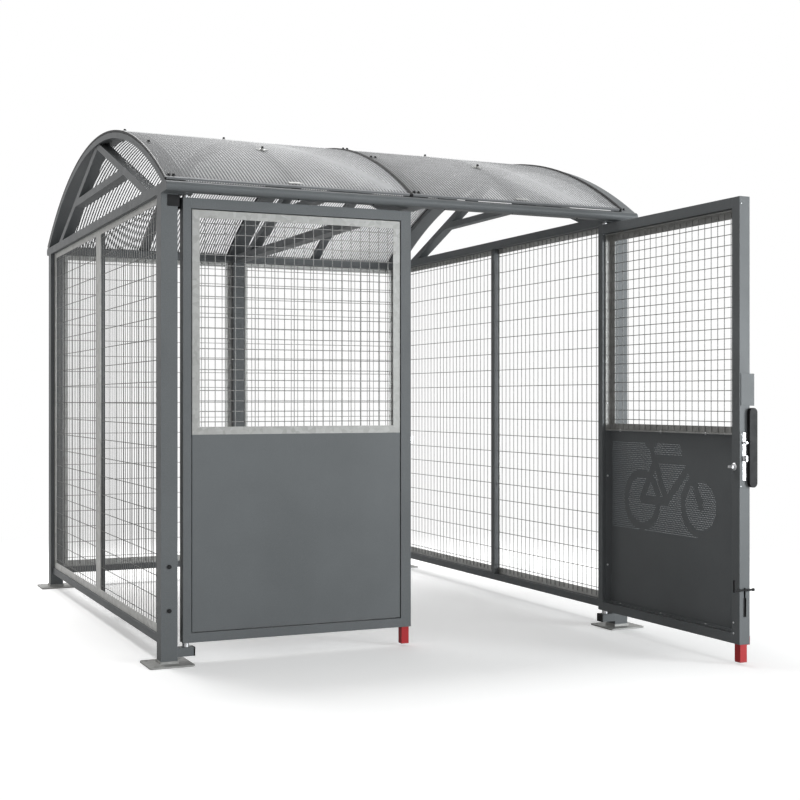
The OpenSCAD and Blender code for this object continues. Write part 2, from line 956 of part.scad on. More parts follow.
base_plates();
front_left_post();
front_right_post();
back_left_post();
back_right_post();
back_middle_post();
side_middle_posts();
side_bottom_rails();
back_bottom_rails();
left_top_tie();
right_top_tie();
middle_roof_tie();
back_top_rail();
front_eave_beam();
back_eave_beam();
left_gable_arch();
middle_arch();
right_gable_arch();
roof_rafters();
truss_struts();
truss_collars();
left_roof_sheet();
right_roof_sheet();
sheet_strips();
sheet_gaskets();
sheet_clamps();
left_mesh_frames();
right_mesh_frames();
back_mesh_frames();
left_mesh_wires();
right_mesh_wires();
back_mesh_wires();
pivot_arms();
arm_caps();
pivot_pins();
top_pivot_plates();
door_stops();
post_bolts();
left_door_stiles();
left_door_rails();
left_window_frame();
left_window_wires();
left_door_panel();
left_strike();
left_buffer();
left_drop_bolt();
left_bolt_handle();
right_door_stiles();
right_door_rails();
right_window_frame();
right_window_wires();
right_door_panel();
lock_case();
guard_plate();
pull_handle();
latch_bolt();
dead_bolt();
turn_knob();
right_drop_bolt();
right_bolt_handle();
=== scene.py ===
"""Motorcycle storage compound: the looks of the solid model, in the same place and scale.

Every solid of the model gets a finish. The script adds the inside of the roof sheets, the
perforated sheet of the right door with its bicycle sign, and the seals, screws and plates
that are too small or too many for the solids. Lengths are in metres.
"""
import json
import math

import bpy
import numpy as np
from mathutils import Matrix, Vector


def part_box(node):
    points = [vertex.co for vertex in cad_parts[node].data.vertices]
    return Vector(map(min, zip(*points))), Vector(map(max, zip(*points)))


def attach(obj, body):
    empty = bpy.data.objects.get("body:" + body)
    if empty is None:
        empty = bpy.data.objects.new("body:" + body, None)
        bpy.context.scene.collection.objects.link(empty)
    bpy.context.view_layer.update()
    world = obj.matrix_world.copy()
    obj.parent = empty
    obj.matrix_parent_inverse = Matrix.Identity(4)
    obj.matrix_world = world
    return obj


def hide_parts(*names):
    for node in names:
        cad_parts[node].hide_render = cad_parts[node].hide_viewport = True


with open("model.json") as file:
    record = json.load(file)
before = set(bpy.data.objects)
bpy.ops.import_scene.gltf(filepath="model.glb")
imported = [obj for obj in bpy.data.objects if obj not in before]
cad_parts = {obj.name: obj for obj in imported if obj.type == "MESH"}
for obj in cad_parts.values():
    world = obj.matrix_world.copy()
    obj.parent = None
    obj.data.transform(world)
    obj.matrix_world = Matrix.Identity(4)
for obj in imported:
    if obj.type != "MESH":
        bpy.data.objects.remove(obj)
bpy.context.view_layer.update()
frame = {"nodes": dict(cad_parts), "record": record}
scene = bpy.context.scene

# Roof: the upper face of the sheets is an arc about this centre
ROOF_CENTRE_Y = -0.015
ROOF_CENTRE_Z = -0.103
ROOF_RADIUS = 2.850
SHEET_THICK = 0.010
SHEET_REACH = 1.546
EDGE_ANGLE = math.degrees(math.asin(SHEET_REACH / ROOF_RADIUS))
RAFTERS = (-0.658, 0.610)

# Doors: pivots, length from the pivot to the meeting edge, and angles as they stand
PIVOT_X = 1.183
PIVOT_Y = -1.455
LEAF_LENGTH = 1.163
DOOR_HALF = 0.030
LEFT_ANGLE = math.radians(0.95)
RIGHT_ANGLE = math.radians(90.6)

# Lower panel of a door: a tray of sheet steel between the stiles, up to the middle rail
FILL_X0, FILL_X1 = 0.025, 1.103
FILL_Z0, MID_Z = 0.150, 1.088
FILL_Y = -0.027
FILL_DEPTH = 0.040
SHEET_STEEL = 0.003


# Places on the door leaves: x from the pivot to the meeting edge, y from front to inside
def on_left_leaf(points):
    """Left leaf to compound: turn about the pivot by the small opening angle, then shift."""
    p = np.atleast_2d(np.asarray(points, float))
    c, s = math.cos(LEFT_ANGLE), math.sin(LEFT_ANGLE)
    return np.column_stack([-PIVOT_X + p[:, 0] * c + p[:, 1] * s,
                            PIVOT_Y - p[:, 0] * s + p[:, 1] * c, p[:, 2]])


def on_right_leaf(points):
    """Right leaf to compound: mirror in x, turn about the pivot, then shift."""
    p = np.atleast_2d(np.asarray(points, float))
    c, s = math.cos(RIGHT_ANGLE), math.sin(RIGHT_ANGLE)
    return np.column_stack([PIVOT_X - p[:, 0] * c - p[:, 1] * s,
                            PIVOT_Y - p[:, 0] * s + p[:, 1] * c, p[:, 2]])


def on_roof(x, angle_deg, lift=0.0):
    """Point on the roof: radius plus lift, turned from the crest to the back by an angle."""
    a = np.radians(angle_deg)
    r = ROOF_RADIUS + lift
    return np.column_stack(np.broadcast_arrays(
        x, ROOF_CENTRE_Y + r * np.sin(a), ROOF_CENTRE_Z + r * np.cos(a)))


# Materials
def new_material(name):
    """Empty node material with its output and one principled shader."""
    m = bpy.data.materials.new(name)
    m.use_nodes = True
    nt = m.node_tree
    nt.nodes.clear()
    out = nt.nodes.new("ShaderNodeOutputMaterial")
    shader = nt.nodes.new("ShaderNodeBsdfPrincipled")
    nt.links.new(shader.outputs[0], out.inputs[0])
    return m, nt, shader, out


def noise(nt, scale, detail=4.0, rough=0.55, stretch=None):
    """Fractal noise on object coordinates, with an optional stretch along the axes."""
    place = nt.nodes.new("ShaderNodeTexCoord").outputs["Object"]
    if stretch:
        mapping = nt.nodes.new("ShaderNodeMapping")
        mapping.inputs["Scale"].default_value = stretch
        nt.links.new(place, mapping.inputs["Vector"])
        place = mapping.outputs[0]
    n = nt.nodes.new("ShaderNodeTexNoise")
    n.inputs["Scale"].default_value = scale
    n.inputs["Detail"].default_value = detail
    n.inputs["Roughness"].default_value = rough
    nt.links.new(place, n.inputs["Vector"])
    return n.outputs["Fac"]


def ramp(nt, value, stops):
    """Colour ramp through the given places and colours."""
    r = nt.nodes.new("ShaderNodeValToRGB")
    e = r.color_ramp.elements
    while len(e) < len(stops):
        e.new(0.5)
    for slot, (place, colour) in zip(e, stops):
        slot.position = place
        slot.color = (*colour, 1.0)
    nt.links.new(value, r.inputs[0])
    return r.outputs[0]


def mix(nt, factor, a, b, kind="MIX"):
    """Blend of two colours by a factor, each a socket or plain colour."""
    m = nt.nodes.new("ShaderNodeMix")
    m.data_type = "RGBA"
    m.blend_type = kind
    for socket, value in ((m.inputs[0], factor), (m.inputs[6], a), (m.inputs[7], b)):
        if hasattr(value, "is_linked"):
            nt.links.new(value, socket)
        elif isinstance(value, (int, float)):
            socket.default_value = value
        else:
            socket.default_value = (*value, 1.0)
    return m.outputs[2]


def math_node(nt, kind, a, b=0.0, clamp=False):
    """One arithmetic step on two values, each a socket or a number."""
    m = nt.nodes.new("ShaderNodeMath")
    m.operation = kind
    m.use_clamp = clamp
    for socket, value in ((m.inputs[0], a), (m.inputs[1], b)):
        if hasattr(value, "is_linked"):
            nt.links.new(value, socket)
        else:
            socket.default_value = value
    return m.outputs[0]


def bump(nt, height, strength, distance, base=None):
    """Bump from a height value, over an optional normal."""
    b = nt.nodes.new("ShaderNodeBump")
    b.inputs["Strength"].default_value = strength
    b.inputs["Distance"].default_value = distance
    nt.links.new(height, b.inputs["Height"])
    if base is not None:
        nt.links.new(base, b.inputs["Normal"])
    return b.outputs[0]


def rounded_edges(nt, radius):
    """Normal of edges rounded by a small radius, and how far it turns from the flat one."""
    soft = nt.nodes.new("ShaderNodeBevel")
    soft.samples = 4
    soft.inputs["Radius"].default_value = radius
    plain = nt.nodes.new("ShaderNodeNewGeometry")
    dot = nt.nodes.new("ShaderNodeVectorMath")
    dot.operation = "DOT_PRODUCT"
    nt.links.new(soft.outputs[0], dot.inputs[0])
    nt.links.new(plain.outputs["Normal"], dot.inputs[1])
    turn = math_node(nt, "SUBTRACT", 1.0, dot.outputs["Value"], clamp=True)
    return soft.outputs[0], math_node(nt, "MULTIPLY", turn, 4.0, clamp=True)


def powder_coat(name, colour, light, rough=0.42, radius=0.0018):
    """Satin powder coat: broad tone drift, fine orange peel, and a painted highlight that makes
    the rounded edges paler.
    """
    m, nt, s, _ = new_material(name)
    drift = ramp(nt, noise(nt, 2.2, 3.0),
                 [(0.35, [c * 0.93 for c in colour]), (0.65, [c * 1.07 for c in colour])])
    normal, edge = rounded_edges(nt, radius)
    speck = ramp(nt, noise(nt, 900.0, 2.0), [(0.42, (0.0,) * 3), (0.75, (0.05,) * 3)])
    tone = mix(nt, 1.0, drift, speck, "ADD")
    # Painted highlight: the rounded edges are mixed part way towards the pale highlight colour
    nt.links.new(mix(nt, math_node(nt, "MULTIPLY", edge, 0.55), tone, light),
                 s.inputs["Base Color"])
    nt.links.new(math_node(nt, "ADD", math_node(nt, "MULTIPLY", noise(nt, 14.0), 0.12),
                           rough - 0.06), s.inputs["Roughness"])
    s.inputs["Specular IOR Level"].default_value = 0.15
    nt.links.new(bump(nt, noise(nt, 420.0, 2.0), 0.12, 0.0006, normal), s.inputs["Normal"])
    return m


def galvanised(name, dark, light, scale, metal=0.35):
    """Zinc coat: two sizes of spangle patches, cloudy drift, a fine matt grain, and a painted
    highlight on rounded edges.
    """
    m, nt, s, _ = new_material(name)
    place = nt.nodes.new("ShaderNodeTexCoord").outputs["Object"]
    cells = nt.nodes.new("ShaderNodeTexVoronoi")
    cells.inputs["Scale"].default_value = scale
    cells.inputs["Randomness"].default_value = 1.0
    nt.links.new(place, cells.inputs["Vector"])
    grey = nt.nodes.new("ShaderNodeRGBToBW")
    nt.links.new(cells.outputs["Color"], grey.inputs[0])
    patch = math_node(nt, "ADD", math_node(nt, "MULTIPLY", grey.outputs[0], 0.45),
                      math_node(nt, "MULTIPLY", noise(nt, scale * 0.35, 6.0, 0.7), 0.65))
    tone = ramp(nt, patch, [(0.30, dark), (0.55, [(a + b) / 2 for a, b in zip(dark, light)]),
                            (0.80, light)])
    normal, edge = rounded_edges(nt, 0.001)
    # Painted highlight: rounded edges are mixed towards pale zinc
    nt.links.new(mix(nt, math_node(nt, "MULTIPLY", edge, 0.3), tone, (0.80, 0.80, 0.78)),
                 s.inputs["Base Color"])
    s.inputs["Metallic"].default_value = metal
    nt.links.new(math_node(nt, "ADD", math_node(nt, "MULTIPLY", patch, 0.25), 0.38),
                 s.inputs["Roughness"])
    nt.links.new(bump(nt, noise(nt, 260.0, 3.0), 0.15, 0.0008, normal), s.inputs["Normal"])
    return m


def brushed(name, colour, rough=0.28, stretch=(60.0, 60.0, 1.5)):
    """Brushed stainless: long thin scratches along one axis under a soft sheen."""
    m, nt, s, _ = new_material(name)
    lines = noise(nt, 40.0, 5.0, 0.6, stretch)
    nt.links.new(ramp(nt, lines, [(0.3, [c * 0.82 for c in colour]), (0.7, colour)]),
                 s.inputs["Base Color"])
    s.inputs["Metallic"].default_value = 0.9
    nt.links.new(math_node(nt, "ADD", math_node(nt, "MULTIPLY", lines, 0.2), rough - 0.08),
                 s.inputs["Roughness"])
    normal, _ = rounded_edges(nt, 0.0008)
    nt.links.new(bump(nt, lines, 0.08, 0.0004, normal), s.inputs["Normal"])
    return m


def moulded(name, colour, rough, grain=700.0, strength=0.25):
    """Moulded plastic or rubber: fine pebble grain, slight tone and gloss drift."""
    m, nt, s, _ = new_material(name)
    nt.links.new(ramp(nt, noise(nt, 18.0, 4.0),
                      [(0.3, colour), (0.8, [c * 1.6 + 0.004 for c in colour])]),
                 s.inputs["Base Color"])
    nt.links.new(math_node(nt, "ADD", math_node(nt, "MULTIPLY", noise(nt, 35.0), 0.2),
                           rough - 0.1), s.inputs["Roughness"])
    s.inputs["Specular IOR Level"].default_value = 0.15
    normal, _ = rounded_edges(nt, 0.0012)
    nt.links.new(bump(nt, noise(nt, grain, 2.0), strength, 0.0004, normal),
                 s.inputs["Normal"])
    return m


# Heights where the rubbed tip of a drop bolt fades out and where its red ends
RUBBED_TIP = 0.012
RED_TOP = 0.205


def red_enamel(name, colour):
    """Red enamel on the foot, black shaft above, rubbed streaks where it slides in the ground, and
    a painted highlight on rounded edges.
    """
    m, nt, s, _ = new_material(name)
    place = nt.nodes.new("ShaderNodeTexCoord").outputs["Object"]
    split = nt.nodes.new("ShaderNodeSeparateXYZ")
    nt.links.new(place, split.inputs[0])
    above_tip = math_node(nt, "SUBTRACT", split.outputs[2], RUBBED_TIP)
    low = math_node(nt, "SUBTRACT", 1.0, math_node(nt, "MULTIPLY", above_tip, 45.0), clamp=True)
    streak = noise(nt, 30.0, 5.0, 0.7, (9.0, 9.0, 1.2))
    worn = ramp(nt, math_node(nt, "MULTIPLY", low, streak),
                [(0.42, (0.0,) * 3), (0.60, (1.0,) * 3)])
    tone = ramp(nt, noise(nt, 7.0), [(0.3, [c * 0.85 for c in colour]), (0.7, colour)])
    s.inputs["Specular IOR Level"].default_value = 0.2
    normal, edge = rounded_edges(nt, 0.0015)
    # Painted highlight: rounded edges of the red are mixed towards a paler red
    paint = mix(nt, math_node(nt, "MULTIPLY", edge, 0.3), tone, (0.55, 0.06, 0.07))
    above_foot = math_node(nt, "SUBTRACT", split.outputs[2], RED_TOP)
    shaft = math_node(nt, "MULTIPLY", above_foot, 400.0, clamp=True)
    painted = mix(nt, shaft, paint, (0.014, 0.014, 0.015))
    nt.links.new(mix(nt, worn, painted, (0.35, 0.34, 0.33)), s.inputs["Base Color"])
    nt.links.new(math_node(nt, "ADD", math_node(nt, "MULTIPLY", noise(nt, 25.0), 0.2), 0.25),
                 s.inputs["Roughness"])
    nt.links.new(bump(nt, noise(nt, 300.0, 2.0), 0.1, 0.0005, normal), s.inputs["Normal"])
    return m


def roof_skin(name, colour, haze):
    """Clear sheet skin: see-through, glossier at a flat angle, with faint haze and dust."""
    m, nt, s, out = new_material(name)
    dust = ramp(nt, noise(nt, 5.0, 6.0, 0.65, (1.0, 0.35, 1.0)),
                [(0.35, [c * 0.9 for c in colour]), (0.75, colour)])
    nt.links.new(dust, s.inputs["Base Color"])
    nt.links.new(math_node(nt, "ADD", math_node(nt, "MULTIPLY", noise(nt, 9.0), 0.15), 0.40),
                 s.inputs["Roughness"])
    s.inputs["Specular IOR Level"].default_value = 0.06
    see = nt.nodes.new("ShaderNodeBsdfTransparent")
    see.inputs[0].default_value = (0.985, 0.988, 0.99, 1.0)
    slant = nt.nodes.new("ShaderNodeLayerWeight")
    slant.inputs["Blend"].default_value = 0.5
    flat = math_node(nt, "MULTIPLY", math_node(nt, "POWER", slant.outputs["Facing"], 8.0), 0.35)
    share = math_node(nt, "ADD", flat,
                      math_node(nt, "MULTIPLY", noise(nt, 5.0, 6.0), haze), clamp=True)
    blend = nt.nodes.new("ShaderNodeMixShader")
    nt.links.new(share, blend.inputs[0])
    nt.links.new(see.outputs[0], blend.inputs[1])
    nt.links.new(s.outputs[0], blend.inputs[2])
    nt.links.new(blend.outputs[0], out.inputs[0])
    return m


def roof_rib(name, colour):
    """Webs inside the sheet: grey translucent plastic that lets some light through."""
    m, nt, s, out = new_material(name)
    tone = ramp(nt, noise(nt, 12.0, 4.0), [(0.3, [c * 0.85 for c in colour]), (0.7, colour)])
    nt.links.new(tone, s.inputs["Base Color"])
    s.inputs["Roughness"].default_value = 0.8
    s.inputs["Specular IOR Level"].default_value = 0.15
    glow = nt.nodes.new("ShaderNodeBsdfTranslucent")
    nt.links.new(tone, glow.inputs[0])
    blend = nt.nodes.new("ShaderNodeMixShader")
    blend.inputs[0].default_value = 0.06
    nt.links.new(s.outputs[0], blend.inputs[1])
    nt.links.new(glow.outputs[0], blend.inputs[2])
    nt.links.new(blend.outputs[0], out.inputs[0])
    return m


def roof_opal(name, colour, clear):
    """Opal layer inside the sheet: spreads the light to both sides, a little see-through."""
    m, nt, s, out = new_material(name)
    cloud = ramp(nt, noise(nt, 3.0, 5.0, 0.6, (1.0, 0.4, 1.0)),
                 [(0.3, [c * 0.94 for c in colour]), (0.7, colour)])
    nt.links.new(cloud, s.inputs["Base Color"])
    s.inputs["Roughness"].default_value = 0.9
    s.inputs["Specular IOR Level"].default_value = 0.1
    through = nt.nodes.new("ShaderNodeBsdfTranslucent")
    nt.links.new(cloud, through.inputs[0])
    both = nt.nodes.new("ShaderNodeMixShader")
    both.inputs[0].default_value = 0.6
    nt.links.new(s.outputs[0], both.inputs[1])
    nt.links.new(through.outputs[0], both.inputs[2])
    see = nt.nodes.new("ShaderNodeBsdfTransparent")
    blend = nt.nodes.new("ShaderNodeMixShader")
    blend.inputs[0].default_value = clear
    nt.links.new(both.outputs[0], blend.inputs[1])
    nt.links.new(see.outputs[0], blend.inputs[2])
    nt.links.new(blend.outputs[0], out.inputs[0])
    return m


# Finishes
PAINT = (0.095, 0.102, 0.106)
# Pale colour of the painted highlight on the rounded edges of the frame paint
PAINT_EDGE_HIGHLIGHT = (0.26, 0.29, 0.31)
FRAME_PAINT = powder_coat("frame_paint", PAINT, PAINT_EDGE_HIGHLIGHT)
PANEL_PAINT = powder_coat("panel_paint", [c * 1.02 for c in PAINT], PAINT_EDGE_HIGHLIGHT, 0.40)
ZINC = galvanised("galvanised", (0.205, 0.205, 0.197), (0.32, 0.32, 0.31), 38.0, 0.35)
WIRE_ZINC = galvanised("wire_zinc", (0.17, 0.17, 0.166), (0.27, 0.27, 0.265), 90.0, 0.55)
STAINLESS = brushed("stainless", (0.62, 0.62, 0.63), 0.34)
BLACK = moulded("black_plastic", (0.006, 0.006, 0.0065), 0.5)
RUBBER = moulded("rubber", (0.018, 0.018, 0.018), 0.75, 500.0, 0.35)
RED = red_enamel("red_paint", (0.40, 0.026, 0.030))
SKIN = roof_skin("roof_skin", (0.60, 0.605, 0.61), 0.13)
# The second colour is the painted highlight on the channels' rounded edges
EDGE_METAL = powder_coat("edge_channel_paint", (0.15, 0.155, 0.16), (0.22, 0.22, 0.23), 0.6)
RIB = roof_rib("roof_rib", (0.15, 0.152, 0.155))
OPAL = roof_opal("roof_opal", (0.97, 0.97, 0.975), 0.55)
# Mesh frames: the galvanised zinc with painted light, made paler to stand in for the light they
# miss in the shade of the walls and wires
MESH_FRAME_ZINC_PAINTED_LIGHT = galvanised("mesh_frame_zinc_painted_light", (0.42, 0.42, 0.405), (0.60, 0.60, 0.585), 38.0,
                             0.3)
OWN_FINISH = {"guard_plate": FRAME_PAINT, "left_mesh_frames": MESH_FRAME_ZINC_PAINTED_LIGHT,
              "right_mesh_frames": MESH_FRAME_ZINC_PAINTED_LIGHT, "back_mesh_frames": MESH_FRAME_ZINC_PAINTED_LIGHT}
FINISH = {"frame_paint": FRAME_PAINT, "panel_paint": PANEL_PAINT, "galvanised": ZINC,
          "wire_zinc": WIRE_ZINC, "stainless": STAINLESS, "black_plastic": BLACK,
          "rubber": RUBBER, "red_paint": RED, "roof_sheet": SKIN}

# Every solid takes its own finish, or else that of its material slot
for part in frame["record"]["subparts"]:
    node = frame["nodes"][part["node"]]
    node.data.materials.clear()
    node.data.materials.append(OWN_FINISH.get(node.name) or FINISH[part["material_slot"]])


# Mesh building
def make_piece(name, vertices, faces, slot, body, smooth=False, material=None, stands_for=()):
    """Mesh object from arrays: in place, with its finish, riding on its body."""
    mesh = bpy.data.meshes.new(name)
    mesh.from_pydata(np.asarray(vertices, float).tolist(), [], faces)
    mesh.update()
    mesh.materials.append(material or FINISH[slot])
    if smooth:
        mesh.polygons.foreach_set("use_smooth", np.ones(len(mesh.polygons), bool))
    piece = bpy.data.objects.new(name, mesh)
    scene.collection.objects.link(piece)
    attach(piece, body)
    if stands_for:
        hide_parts(*stands_for)
    return piece


def join_parts(parts):
    """Several vertex and face sets as one, with the face numbers shifted."""
    vertices, faces, start = [], [], 0
    for v, f in parts:
        vertices.append(np.asarray(v, float))
        faces += [tuple(int(i) + start for i in face) for face in f]
        start += len(v)
    return np.vstack(vertices), faces


def grid_faces(rows, cols, wrap=False):
    """Quads of a grid of rows and columns, closed round the columns if asked."""
    r, c = np.meshgrid(np.arange(rows - 1), np.arange(cols if wrap else cols - 1),
                       indexing="ij")
    a = r * cols + c
    b = r * cols + (c + 1) % cols
    return np.stack([a, b, b + cols, a + cols], -1).reshape(-1, 4).tolist()


def turned(profile, centre, axis, steps=24):
    """Solid of revolution: a profile of (distance along axis, radius) turned about it."""
    axis = np.asarray(axis, float) / np.linalg.norm(axis)
    side = np.cross(axis, (0.0, 0.0, 1.0) if abs(axis[2]) < 0.9 else (1.0, 0.0, 0.0))
    side /= np.linalg.norm(side)
    up = np.cross(axis, side)
    profile = np.asarray(profile, float)
    a = np.linspace(0, 2 * np.pi, steps, endpoint=False)
    ring = np.outer(np.cos(a), side) + np.outer(np.sin(a), up)
    v = (np.asarray(centre, float) + profile[:, None, 0:1] * axis
         + profile[:, None, 1:2] * ring[None])
    rows = len(profile)
    v = v.reshape(-1, 3)
    faces = grid_faces(rows, steps, wrap=True)
    faces.append(list(range(steps))[::-1])
    faces.append(list(range((rows - 1) * steps, rows * steps)))
    return v, faces


def pan_head(centre, axis, d, h, steps=12):
    """Low domed screw head with a socket: a turned profile that dips at its middle."""
    r = d / 2
    return turned([(0.0, r * 0.98), (h * 0.35, r), (h * 0.75, r * 0.86), (h, r * 0.55),
                   (h, r * 0.36), (h * 0.45, r * 0.33)], centre, axis, steps)


def arc_bar(x0, x1, r0, r1, a0, a1, steps):
    """Bar of box section bent along the roof arc between two angles from the crest.

    A corner of the section at radius r lies at r times the sine of the angle behind the
    centre and at r times its cosine above it.
    """
    a = np.radians(np.linspace(a0, a1, steps + 1))
    corner = np.array([(x0, r0), (x1, r0), (x1, r1), (x0, r1)])
    v = np.stack([np.broadcast_to(corner[None, :, 0], (len(a), 4)),
                  ROOF_CENTRE_Y + corner[None, :, 1] * np.sin(a)[:, None],
                  ROOF_CENTRE_Z + corner[None, :, 1] * np.cos(a)[:, None]], -1)
    faces = [f[::-1] for f in grid_faces(len(a), 4, wrap=True)]
    n = len(a) * 4
    faces += [[0, 1, 2, 3], [n - 1, n - 2, n - 3, n - 4]]
    return v.reshape(-1, 3), faces


def eave_channel(x0, x1, back):
    """Channel closing the lower end of a sheet: a U profile carried along x."""
    edge = math.radians(EDGE_ANGLE) * back
    out = np.array((0.0, math.sin(edge), math.cos(edge)))
    down = np.array((0.0, math.cos(edge), -math.sin(edge))) * back
    corner = on_roof(0.0, EDGE_ANGLE * back)[0]
    thick, t, lip, gap = SHEET_THICK, 0.001, 0.014, 0.0002
    profile = [(gap, -lip), (gap, -gap), (-thick - gap, -gap), (-thick - gap, -lip),
               (-thick + t, -lip), (-thick + t, -t - gap), (-t, -t - gap), (-t, -lip)]
    ring = np.array([corner + out * a + down * b for a, b in profile])
    v = np.vstack([ring + (x0, 0, 0), ring + (x1, 0, 0)])
    n = len(profile)
    faces = [[k, (k + 1) % n, n + (k + 1) % n, n + k] for k in range(n)]
    faces += [list(range(n))[::-1], list(range(n, 2 * n))]
    return v, [f[::-1] for f in faces] if back < 0 else faces


def eave_seal(x0, x1, back):
    """Squeezed half-round seal between the eave beam and the channel above it.

    Its section is half an ellipse that stands on the beam, 13 mm wide and 3.6 mm high.
    """
    half_width, height, inset, n = 0.0065, 0.0036, 0.004, 9
    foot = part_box("front_eave_beam")[1].z + 0.0001
    middle = on_roof(0.0, EDGE_ANGLE * back)[0][1] - inset * back
    turn = np.linspace(0.0, math.pi, n)
    ring = np.column_stack([np.zeros(n), middle + half_width * np.cos(turn),
                            foot + height * np.sin(turn)])
    v = np.vstack([ring + (x0, 0, 0), ring + (x1, 0, 0)])
    faces = [[k, (k + 1) % n, n + (k + 1) % n, n + k] for k in range(n)]
    faces += [list(range(n))[::-1], list(range(n, 2 * n))]
    return v, [f[::-1] for f in faces]


# Roof sheets: a clear closed bar whose faces are the skins, with webs and an opal layer
# inside. Heights are above the sheet's lower face, cuts are in degrees along the arc.
RIB_PITCH = 0.0171
RIB_HALF = 0.0039
RIB_LOW, RIB_HIGH = 0.0042, 0.0054
CORE_LOW, CORE_HIGH = 0.0047, 0.0049
SKIN_INSET, SKIN_GAP = 0.0016, 0.0001
TAPE_WIDTH = 0.007
CHANNEL_INSET = 0.002
ARC_STEPS, RIB_STEPS = 72, 36


def roof_bar(x0, x1, r0, r1, cut=0.0, steps=ARC_STEPS):
    """Bar along the whole roof arc, shorter by a cut at either end."""
    return arc_bar(x0, x1, r0, r1, -EDGE_ANGLE + cut, EDGE_ANGLE - cut, steps)


def dress_sheet(side):
    """Skins, webs, opal layer, end tapes, edge channels and eave seals of one sheet."""
    low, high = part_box(side + "_roof_sheet")
    x0, x1 = low.x, high.x
    inner = ROOF_RADIUS - SHEET_THICK
    skins = roof_bar(x0 + SKIN_INSET, x1 - SKIN_INSET, inner + SKIN_GAP,
                     ROOF_RADIUS - SKIN_GAP, 0.03)
    make_piece(side + "_roof_skins", *skins, "roof_sheet", "compound", True,
               stands_for=(side + "_roof_sheet",))
    xs = np.arange(x0 + RIB_PITCH / 2, x1 - 0.002, RIB_PITCH)
    ribs = join_parts([roof_bar(x - RIB_HALF, x + RIB_HALF, inner + RIB_LOW,
                                inner + RIB_HIGH, 0.02, RIB_STEPS) for x in xs])
    make_piece(side + "_roof_webs", *ribs, "roof_sheet", "compound", False, RIB)
    core = roof_bar(x0 + 0.003, x1 - 0.003, inner + CORE_LOW, inner + CORE_HIGH, 0.05)
    make_piece(side + "_roof_opal_core", *core, "roof_sheet", "compound", True, OPAL)
    ends = join_parts([roof_bar(a, a + TAPE_WIDTH, inner - 0.0001, ROOF_RADIUS + 0.0002)
                       for a in (x0, x1 - TAPE_WIDTH)])
    make_piece(side + "_roof_end_tapes", *ends, "black_plastic", "compound")
    span = (x0 + CHANNEL_INSET, x1 - CHANNEL_INSET)
    caps = join_parts([eave_channel(*span, back) for back in (-1, 1)])
    make_piece(side + "_roof_edge_channels", *caps, "frame_paint", "compound",
               material=EDGE_METAL)
    seals = join_parts([eave_seal(*span, back) for back in (-1, 1)])
    make_piece(side + "_eave_seals", *seals, "rubber", "compound")


for side in ("left", "right"):
    dress_sheet(side)

# Right door sheet: folded tray whose face is perforated, but solid in a bicycle's outline
HOLE_PITCH = 0.012
HOLE_RADIUS = 0.0025
SIGN_LEFT, SIGN_RIGHT, SIGN_LOW, SIGN_HIGH = 0.036, 0.938, 0.562, 1.034
REAR_HUB, FRONT_HUB = (0.312, 0.726), (0.803, 0.726)
WHEEL_INNER, WHEEL_OUTER = 0.121, 0.161
TUBE_HALF = 0.0205


def capsule(p, a, b, w):
    """True for points nearer than w to the segment a-b: distance to the clamped foot point."""
    a, b = np.asarray(a, float), np.asarray(b, float)
    t = np.clip(((p - a) @ (b - a)) / ((b - a) @ (b - a)), 0.0, 1.0)
    return np.hypot(*(p - a - t[:, None] * (b - a)).T) < w


def bicycle_is_solid(p):
    """Points of the sheet (x, z) that stay solid: a bicycle seen from its right side."""
    x, z = p.T
    r = np.hypot(*(p - np.array(REAR_HUB)).T)
    f = np.hypot(*(p - np.array(FRONT_HUB)).T)
    solid = (r > WHEEL_INNER) & (r < WHEEL_OUTER) | (f > WHEEL_INNER) & (f < WHEEL_OUTER)
    # Chain stay, seat stay, seat tube, top tube, down tube and fork
    tubes = ((REAR_HUB, (0.520, 0.727)),
             (REAR_HUB, (0.420, 0.925)),
             ((0.520, 0.740), (0.396, 0.996)),
             ((0.440, 0.942), (0.700, 0.942)),
             ((0.520, 0.727), (0.706, 0.912)),
             ((0.805, 0.720), (0.690, 0.985)))
    for a, b in tubes:
        solid |= capsule(p, a, b, TUBE_HALF)
    # Saddle: a level top that narrows in two curves to the seat post
    levels = (0.994, 1.000, 1.004, 1.010, 1.020, 1.034)
    behind = np.interp(z, levels, (0.376, 0.374, 0.362, 0.347, 0.337, 0.333))
    ahead = np.interp(z, levels, (0.414, 0.416, 0.420, 0.430, 0.444, 0.449))
    solid |= (z > levels[0]) & (x > behind) & (x < ahead)
    # No holes to the right of the handlebar, the fork and the front hub
    edge = np.interp(z, (0.720, 0.921, 0.963, 1.000, 1.034),
                     (0.803, 0.716, 0.660, 0.648, 0.632))
    return solid | (x > edge) & (f > WHEEL_INNER)


def upright(points, y):
    """Points (x, z) of the sheet as places in the plane at depth y."""
    return np.column_stack([points[:, 0], np.full(len(points), y), points[:, 1]])


def drop_repeats(path):
    """Path without equal neighbours."""
    return [b for a, b in zip([None] + path[:-1], path) if a != b]


